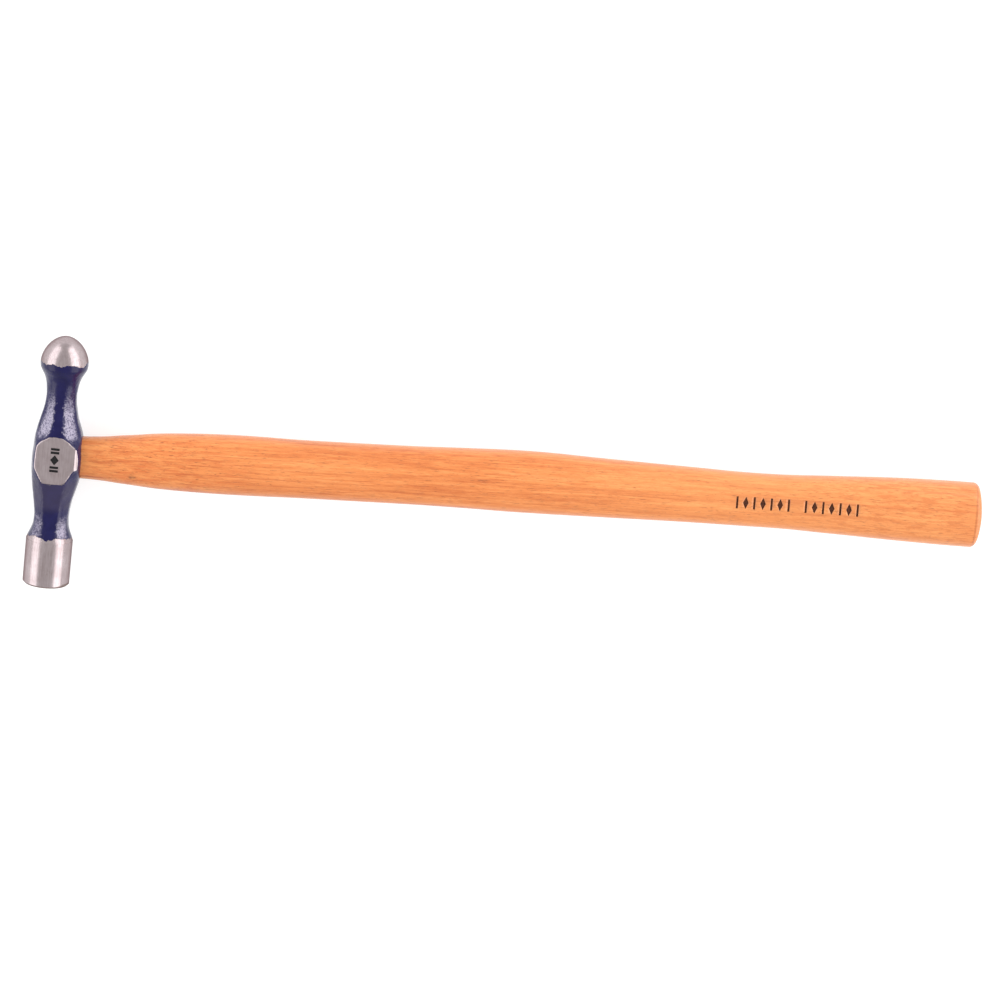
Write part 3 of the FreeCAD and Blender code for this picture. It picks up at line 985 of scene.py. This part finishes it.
def shaded_and_worn(finish, wood, mottle):
    """Painted shade on both flanks, the one on the -Y side more, then the wear and the rim line at the butt,
    end grain, and scorching round the marks.
    """
    # painted shade: the flanks at mid height face away from the light and are darkened in the colour, the
    # flank on the -Y side more
    edge_shade = finish.between(finish.size(finish.minus(finish.z, HALF_THICKNESS)), 4.2, 1.2)
    strength = finish.plus(0.14, finish.times(finish.between(finish.y, 3.0, -3.0), 0.26))
    wood = finish.overlaid(wood, edge_shade, strength, EDGE_SHADE_BROWN)
    worn = finish.times(finish.between(mottle, 0.47, 0.60), finish.between(finish.x, 215.0, 285.0))
    wood = finish.overlaid(wood, worn, 0.62, HANDLED_WOOD)
    wood = finish.overlaid(wood, finish.between(finish.x, 300.0, 311.0), 0.36, BUTT_WOOD)
    from_rim = finish.size(finish.minus(finish.x, BUTT_RIM))
    wood = finish.overlaid(wood, finish.between(from_rim, 0.55, 0.10), 0.45, RIM_BROWN)
    tenon_end = finish.between(finish.x, -8.0, -8.2)
    butt_end = finish.between(finish.x, 310.8, 311.6)
    wood = finish.overlaid(wood, finish.sum("MAXIMUM", tenon_end, butt_end), 0.35, END_GRAIN)
    off_x = finish.size(finish.minus(finish.x, BURNT_MIDDLE[0]))
    off_y = finish.size(finish.minus(finish.y, BURNT_MIDDLE[1]))
    scorch = finish.times(finish.between(off_x, 23.5, 20.5), finish.between(off_y, 3.3, 1.9))
    scorch = finish.times(scorch, finish.between(finish.z, 12.0, 13.0))
    return finish.overlaid(wood, scorch, 0.16, SCORCH)


def hickory_finish():
    """Lacquered straight-grained hickory, with short dark pores."""
    finish = Finish("lacquered hickory")
    sway = finish.wobble(finish.stretched((0.007, 0.03, 0.03)), 1.0, 2.0)
    fibres = finish.cloud(finish.stretched((0.045, 1.7, 1.7)), 1.0, 5.0, 0.66)
    mottle = finish.cloud(finish.stretched((0.16, 0.9, 0.9), (0, 3, 9)), 1.0, 4.0, 0.7)
    wood = straight_grain(finish, fibres, mottle, sway)
    dashes = finish.cloud(finish.stretched((0.34, 5.6, 5.6), (3, 11, 0)), 1.0, 2.0, 0.5)
    pores = finish.between(dashes, 0.635, 0.70)
    wood = finish.overlaid(wood, pores, 0.50, PORE_BROWN)
    wood = flecked_and_shaded(finish, wood)
    wood = reddened(finish, wood, mottle, sway)
    wood = shaded_and_worn(finish, wood, mottle)
    rough = finish.plus(0.34, finish.times(fibres, 0.20))
    finish.set(Base_Color=wood, Roughness=finish.plus(rough, finish.times(pores, 0.2)))
    finish.set(Specular_IOR_Level=0.35, Coat_Weight=0.45, Coat_Roughness=0.22)
    hollows = finish.minus(finish.times(fibres, 0.5), finish.times(pores, 0.9))
    finish.set(Normal=finish.relief(hollows, 0.07))
    return finish.material


def char_finish():
    """The scorched floor of a burnt mark."""
    finish = Finish("burnt wood")
    ash = finish.cloud(finish.stretched((1.2, 2.5, 2.5)), 1.0, 4.0, 0.65)
    colour = finish.graded(ash, (0.35, (0.030, 0.010, 0.006)), (0.62, (0.115, 0.034, 0.014)))
    finish.set(Base_Color=colour, Roughness=finish.plus(0.55, finish.times(ash, 0.35)))
    finish.set(Specular_IOR_Level=0.2, Normal=finish.relief(ash, 0.08))
    return finish.material


def merged_copy(name, source):
    """A closed copy of a mesh that may be made of loose triangles."""
    bm = bmesh.new()
    bm.from_mesh(source.data)
    bmesh.ops.remove_doubles(bm, verts=bm.verts, dist=1e-7)
    return stand(name, bm)


def make_handle():
    stick = bpy.data.objects.new("hickory_handle", bpy.data.meshes.new("stick"))
    bpy.context.scene.collection.objects.link(stick)
    run_nodes(stick, stick_shaper(), Steps=STICK_STEPS, Around=STICK_AROUND, Squareness=SQUARENESS,
              Butt_End=BUTT_END, Butt_Edge=BUTT_EDGE, Dome_Radius=BUTT_DOME_RADIUS, Tenon_End=TENON_END,
              Tenon_Radius=TENON_END_RADIUS, Wood=hickory_finish())
    marks = bpy.data.objects.new("burnt marks", stick.data.copy())
    bpy.context.scene.collection.objects.link(marks)
    middle_x, middle_y = BURNT_MIDDLE
    run_nodes(marks, mark_shaper(), Count=BURNT_COUNT, Pitch=BURNT_PITCH * MM, Depth=BURNT_DEPTH * MM,
              Half_Height=BURNT_HALF_HEIGHT * MM, Half_Width=BURNT_HALF_WIDTH * MM, Middle_X=middle_x * MM,
              Middle_Y=middle_y * MM, Char=char_finish())
    kerfs = [merged_copy(name, bpy.data.objects[name]) for name in ("wood_wedge", "steel_wedge")]
    seat = merged_copy("seat in the head", bpy.data.objects["forged_head"])
    cut_away(stick, [marks, seat, *kerfs])
    stick.data.shade_smooth()
    stick.data.set_sharp_from_angle(angle=math.radians(30))
    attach(stick, "root")
    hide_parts("handle")


make_handle()

# ---------------------------------------------------------------- the wooden wedge
# A thin wedge split from the same sort of wood, driven into the tenon's kerf with its grain along the handle,
# so that it spreads the tenon up and down in the eye. It is cut off flush with the tenon's end.


def wedge_wood_finish():
    finish = Finish("dry wedge wood")
    fibres = finish.cloud(finish.stretched((0.10, 2.4, 3.2)), 1.0, 4.0, 0.6)
    pores = finish.between(finish.cloud(finish.stretched((0.5, 5.0, 5.0)), 1.0, 2.0), 0.62, 0.70)
    wood = finish.graded(fibres, (0.35, (0.42, 0.20, 0.085)), (0.65, (0.66, 0.38, 0.185)))
    wood = finish.blend(finish.times(pores, 0.5), wood, (0.20, 0.09, 0.04))
    finish.set(Base_Color=wood, Roughness=finish.plus(0.60, finish.times(fibres, 0.25)))
    finish.set(Specular_IOR_Level=0.25, Normal=finish.relief(fibres, 0.10))
    return finish.material


bpy.data.objects["wood_wedge"].data.materials.clear()
bpy.data.objects["wood_wedge"].data.materials.append(wedge_wood_finish())

# ---------------------------------------------------------------- the steel wedge
# A small barbed wedge stamped from mild steel, driven slantwise across the wooden one to lock it.
# It is left as it came from the press, a little dull and rusty in its hollows.


def wedge_steel_finish():
    finish = Finish("dull wedge steel")
    mill = finish.cloud(finish.stretched((0.6, 2.5, 2.5)), 1.0, 4.0, 0.6)
    rust = finish.between(finish.cloud(finish.place, 0.9, 4.0, 0.6), 0.52, 0.66)
    colour = finish.graded(mill, (0.35, (0.24, 0.23, 0.23)), (0.65, (0.42, 0.40, 0.39)))
    finish.set(Base_Color=finish.blend(finish.times(rust, 0.7), colour, (0.16, 0.06, 0.025)))
    finish.set(Metallic=finish.minus(1.0, finish.times(rust, 0.7)))
    finish.set(Roughness=finish.plus(0.40, finish.times(finish.plus(mill, rust), 0.22)))
    finish.set(Normal=finish.relief(mill, 0.05))
    return finish.material


bpy.data.objects["steel_wedge"].data.materials.clear()
bpy.data.objects["steel_wedge"].data.materials.append(wedge_steel_finish())
